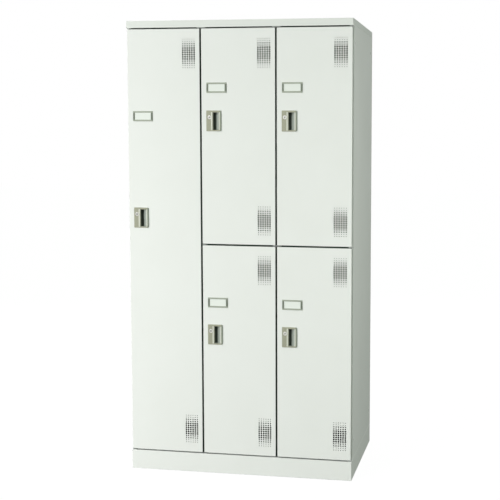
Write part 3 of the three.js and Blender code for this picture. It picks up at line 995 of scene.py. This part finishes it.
# %% Name frames and cards
side_bar, groove_room = 7 * mm, 28 * mm
for door in doors:
    node = "label_frame_" + door
    low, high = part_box(node)
    frame_mesh = copy_of(node)
    rim = [
        edge
        for edge in sharp_edges(frame_mesh)
        if all(abs(v.co.y - low[1]) < hair for v in edge.verts)
    ]
    round_edges(frame_mesh, rim, 0.4 * mm)
    piece = as_object(frame_mesh, "name_frame_" + door)
    middle = (low[2] + high[2]) / 2
    sizes = {
        "Grooves": 4,
        "Groove Pitch": 1.2 * mm,
        "Groove Size": (0.6 * mm, 1.0 * mm, groove_room),
        "Left Centre": (low[0] + side_bar / 2, low[1], middle),
        "Right Centre": (high[0] - side_bar / 2, low[1], middle),
        "Finish": frame_lacquer,
    }
    run_tree(piece, grooving, sizes)
    cut_faces(piece, 0, [low[0] + side_bar, high[0] - side_bar])
    cut_faces(piece, 2, [middle - groove_room / 2, middle + groove_room / 2])
    hand_over(piece, frame_lacquer, node)
    also_finish(
        piece,
        grey_lacquer,
        lambda centre, normal: min(centre.x - low[0], high[0] - centre.x) < side_bar
        and abs(centre.z - middle) < groove_room / 2,
    )
    coat(nodes["label_card_" + door], white_card)
print("Faces in one name frame:", len(piece.data.polygons))

# %% [markdown]
# ## Hanger rails
# A nickelled steel tube between two pressed cups. The tube and its cups are turned in one
# profile, with soft edges. The profile of one end serves for both.

# %% Rails
cup_radius, cup_length, tube_radius, tube_bore = 13, 5, 8, 6.5
one_end = [
    (tube_bore, 0),
    (cup_radius, 0),
    (cup_radius, cup_length - 2),
    (cup_radius - 0.8, cup_length - 0.8),
    (tube_radius + 1.5, cup_length),
    (tube_radius + 0.3, cup_length + 0.4),
    (tube_radius, cup_length + 1.5),
]
for node in [n for n in nodes if n.startswith("hanger_rail_")]:
    low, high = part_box(node)
    length = (high[0] - low[0]) / mm
    along_x = (
        Matrix.Translation((low[0], (low[1] + high[1]) / 2, (low[2] + high[2]) / 2))
        @ Matrix.Scale(mm, 4)
        @ Matrix.Rotation(math.pi / 2, 4, "Y")
    )
    other_end = [(radius, length - along) for radius, along in reversed(one_end)]
    profile = [*one_end, *other_end, one_end[0]]
    piece = as_object(turned(profile, along_x), "rail_" + node.removeprefix("hanger_rail_"))
    keep_sharp_above(piece.data, 50)
    hand_over(piece, nickel, node)
print("Last rail length in mm:", round(length, 1))

# %% [markdown]
# ## Gap plates and pivots
# Small zinc-plated plates fill the ends of the gaps between the doors, and carry the pins that
# the doors turn on. Their edges are tumbled after they are cut, so each is eased a little.

# %% Gap plates
plates = [node for node in nodes if "_pivot_plate_" in node or node.endswith("_rest_plate")]
for node in plates:
    plate = copy_of(node)
    round_edges(plate, sharp_edges(plate), 0.25 * mm, 2)
    piece = as_object(plate, "eased_" + node)
    keep_sharp_above(piece.data, 35)
    hand_over(piece, zinc, node)
print("Plates eased:", len(plates))

# %% [markdown]
# ## Plugs in the sides
# Lockers in a row are bolted together through four holes in each side. On a locker that
# stands alone they are closed with white nylon plugs. A plug has a flat glossy head, flush with
# the sheet, and a flange behind it. Nothing stands proud, so the size is unchanged.

# %% Holes and plugs
hole_profile = rod(7.4, -3, 3)
plug_profile = [(0, -0.01), (7.0, -0.01), (7.2, -0.2), (7.2, -1.3), (9, -1.3), (9, -3), (0, -3)]
plug_places = [(y * mm, z * mm) for y in (-211, 214) for z in (150, 1696)]
for side, outward in (("left", -1), ("right", 1)):
    panel = made["side_panel_" + side]
    face_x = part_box("side_panel_" + side)[outward > 0][0]
    plugs = bmesh.new()
    for y, z in plug_places:
        out_of_side = (
            Matrix.Translation((face_x, y, z))
            @ Matrix.Scale(mm, 4)
            @ Matrix.Rotation(outward * math.pi / 2, 4, "Y")
        )
        work_on(panel, "DIFFERENCE", turned(hole_profile, out_of_side))
        one = bpy.data.meshes.new("one_plug")
        turned(plug_profile, out_of_side, 32).to_mesh(one)
        plugs.from_mesh(one)
    piece = as_object(plugs, "plugs_" + side)
    keep_sharp_above(piece.data, 25)
    coat(piece, nylon)
    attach(piece, body_of["side_panel_" + side])
print("Plugs in each side:", len(plug_places))

# %% [markdown]
# ## Paint on the carcass
# Each sheet is enamelled outside, and its inside gets the darker inside grey as painted shade.
# What shows in the gaps between the doors is painted dark as painted shade. A pale strip of
# painted highlight covers the lowest 4 mm of the sides, along the seam above the foot.

# %% Finishes of the carcass sheets
foot_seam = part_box("side_panel_right")[0][2] + 4 * mm
for side in ("left", "right"):
    cut_faces(made["side_panel_" + side], 2, [foot_seam])
for node, (finish, slot, _) in sheets.items():
    hand_over(made[node], finish, node)
# Painted shade: the inner faces of the back and the sides get the darker inside grey.
also_finish(made["back_panel"], inner_enamel_with_painted_shade, lambda centre, normal: normal.y < -0.9)
for side, outward in (("left", -1), ("right", 1)):
    panel = made["side_panel_" + side]
    also_finish(panel, inner_enamel_with_painted_shade, lambda centre, normal: normal.x * outward < -0.9)
    # Painted highlight: the lowest 4 mm of each side's outer face is pale.
    also_finish(
        panel, painted_highlight_above_foot, lambda centre, normal: centre.z < foot_seam and normal.x * outward > 0.5
    )
behind_the_band, foot_of_the_band = -0.2, 1.765
# Painted shade: the underside of the top behind the band gets the darker inside grey.
also_finish(
    made["top_panel"],
    inner_enamel_with_painted_shade,
    lambda centre, normal: normal.z < -0.9 and centre.y > behind_the_band,
)
# Painted shade: the underside of the band's foot, seen in the gap above the doors, is dark.
front_of_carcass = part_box("door_post_left")[0][1]
also_finish(
    made["top_panel"],
    painted_shade_in_gaps,
    lambda centre, normal: centre.y < front_of_carcass + 1 * mm
    and centre.z < foot_of_the_band
    and normal.z < -0.5,
)
# Painted shade: the fronts of the shelves and the floor, seen in the gaps, are dark.
for node in ("mid_shelf_centre", "mid_shelf_right", "floor_panel"):
    also_finish(made[node], painted_shade_in_gaps, lambda centre, normal: normal.y < -0.9)

# %% [markdown]
# ## Floor, light and camera
# The photo is a studio cut-out on white. A broad key light from the upper left lights the doors,
# and a large lamp near the left makes them fade a little towards the right and the foot. The
# right side gets only a small soft lamp and the light of the room, and lamps behind and above
# do the same for the back and the top. The lamps themselves aren't mirrored. The world looks
# white to the camera and in reflections, and so does the floor, half as bright when it is
# mirrored. Both light the object at a plain level, so that each colour renders about as it is
# written.

# %% World and floor
white = (1, 1, 1, 1)


def start_surroundings(owner, mirrored, share):
    """Starts a tree, and works out how white a ray sees it. A reflection sees only a part."""
    owner.use_nodes = True
    tree = owner.node_tree
    tree.nodes.clear()
    ray = add_node(tree, "ShaderNodeLightPath").outputs
    direct = add_node(
        tree,
        "ShaderNodeMath",
        {0: ray["Is Camera Ray"], 1: ray["Is Transmission Ray"]},
        operation="MAXIMUM",
    )
    mirror = add_node(
        tree, "ShaderNodeMath", {0: ray["Is Glossy Ray"], 1: mirrored}, operation="MULTIPLY"
    )
    either = add_node(
        tree, "ShaderNodeMath", {0: direct.outputs[0], 1: mirror.outputs[0]}, operation="MAXIMUM"
    )
    part = add_node(tree, "ShaderNodeMath", {0: either.outputs[0], 1: share}, operation="MULTIPLY")
    return tree, part.outputs[0]


world = bpy.data.worlds.new("studio")
bpy.context.scene.world = world
tree, seen = start_surroundings(world, 1.0, 1.0)
room = add_node(tree, "ShaderNodeBackground", {"Color": linear("#EFFFF1"), "Strength": 0.41})
backdrop = add_node(tree, "ShaderNodeBackground", {"Color": white, "Strength": 1.0})
shown = add_node(tree, "ShaderNodeMixShader", {0: seen, 1: room.outputs[0], 2: backdrop.outputs[0]})
add_node(tree, "ShaderNodeOutputWorld", {"Surface": shown.outputs[0]})

sweep = bpy.data.materials.new("pale_studio_floor")
tree, seen = start_surroundings(sweep, 0.5, 0.7)
matt = add_node(tree, "ShaderNodeBsdfDiffuse", {"Color": linear("#5C5E5C")})
glow = add_node(tree, "ShaderNodeEmission", {"Color": white, "Strength": 1.4})
shown = add_node(tree, "ShaderNodeMixShader", {0: seen, 1: matt.outputs[0], 2: glow.outputs[0]})
add_node(tree, "ShaderNodeOutputMaterial", {"Surface": shown.outputs[0]})
floor_mesh = bmesh.new()
bmesh.ops.create_grid(floor_mesh, x_segments=1, y_segments=1, size=20)
floor = as_object(floor_mesh, "studio_floor")
coat(floor, sweep)
floor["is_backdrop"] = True
print("Nodes in the floor's material:", len(tree.nodes))


# %% Lamps
def add_lamp(name, kind, direction, energy):
    """A lamp of a kind, turned to shine along a direction."""
    data = bpy.data.lights.new(name, kind)
    data.energy = energy
    lamp = bpy.data.objects.new(name, data)
    bpy.context.scene.collection.objects.link(lamp)
    lamp.rotation_euler = Vector(direction).to_track_quat("-Z", "Y").to_euler()
    return lamp, data


def soft_lamp(name, place, target, size, power, tint=(1, 1, 1)):
    """A square lamp that faces a point, and isn't seen itself."""
    lamp, data = add_lamp(name, "AREA", Vector(target) - Vector(place), power)
    data.shape, data.size, data.color = "SQUARE", size, tint
    lamp.location = place
    lamp.visible_camera = lamp.visible_glossy = False


_, sun = add_lamp("key_from_upper_left", "SUN", (0.55, 0.75, -0.6), 1.12)
sun.angle = math.radians(20)
soft_lamp("fill_from_the_left", (-3.15, -2.75, 0.75), (0, -0.2, 0.8), 1.2, 110)
soft_lamp("fill_from_the_front", (1.3, -4.1, 0.3), (0, -0.2, 0.8), 1.2, 2.5)
soft_lamp("fill_from_the_right", (2.0, -1.2, 1.1), (0.4, -0.1, 0.9), 0.6, 10.4, (0.96, 1, 0.93))
soft_lamp("fill_from_behind", (-0.8, 3.6, 1.9), (0, 0.3, 1.1), 1.2, 70, (1, 0.97, 1))
soft_lamp("fill_from_above", (0, 0.2, 3.5), (0, 0.2, 1.8), 0.6, 8, (1, 0.95, 1))
print("Lamps:", *[lamp.name for lamp in bpy.data.lights])

# %% [markdown]
# ## Camera
# The camera's place comes from six corners of the body that the photo shows. It stands well to
# the right, at about three quarters of the locker's height, with a long lens. The photo keeps
# the verticals upright, and a small lens shift gives part of that.

# %% Camera
camera_data = bpy.data.cameras.new("photo_camera")
camera_data.sensor_width = 36
focal_in_pixels, photo_width = 968.91, 500
camera_data.lens = focal_in_pixels / photo_width * camera_data.sensor_width
camera_data.shift_x, camera_data.shift_y = -0.2, -0.06
camera = bpy.data.objects.new("photo_camera", camera_data)
bpy.context.scene.collection.objects.link(camera)
yaw, pitch, roll = (math.radians(angle) for angle in (9.12, -4.864, 0.266))
camera.location = (1.0257, -3.9052, 1.3406)
camera.rotation_euler = (
    Matrix.Rotation(yaw, 3, "Z")
    @ Matrix.Rotation(math.pi / 2 + pitch, 3, "X")
    @ Matrix.Rotation(roll, 3, "Z")
).to_euler()
bpy.context.scene.camera = camera
bpy.context.scene.view_settings.view_transform = "Standard"
print("Lens in mm:", round(camera_data.lens, 2))

# %% [markdown]
# The looks must not change the size. Both boxes are printed, so that they can be compared.

# %% Sizes, and the end
low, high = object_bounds()
print("Visual box in metres:", [round(x, 4) for x in (*low, *high)])
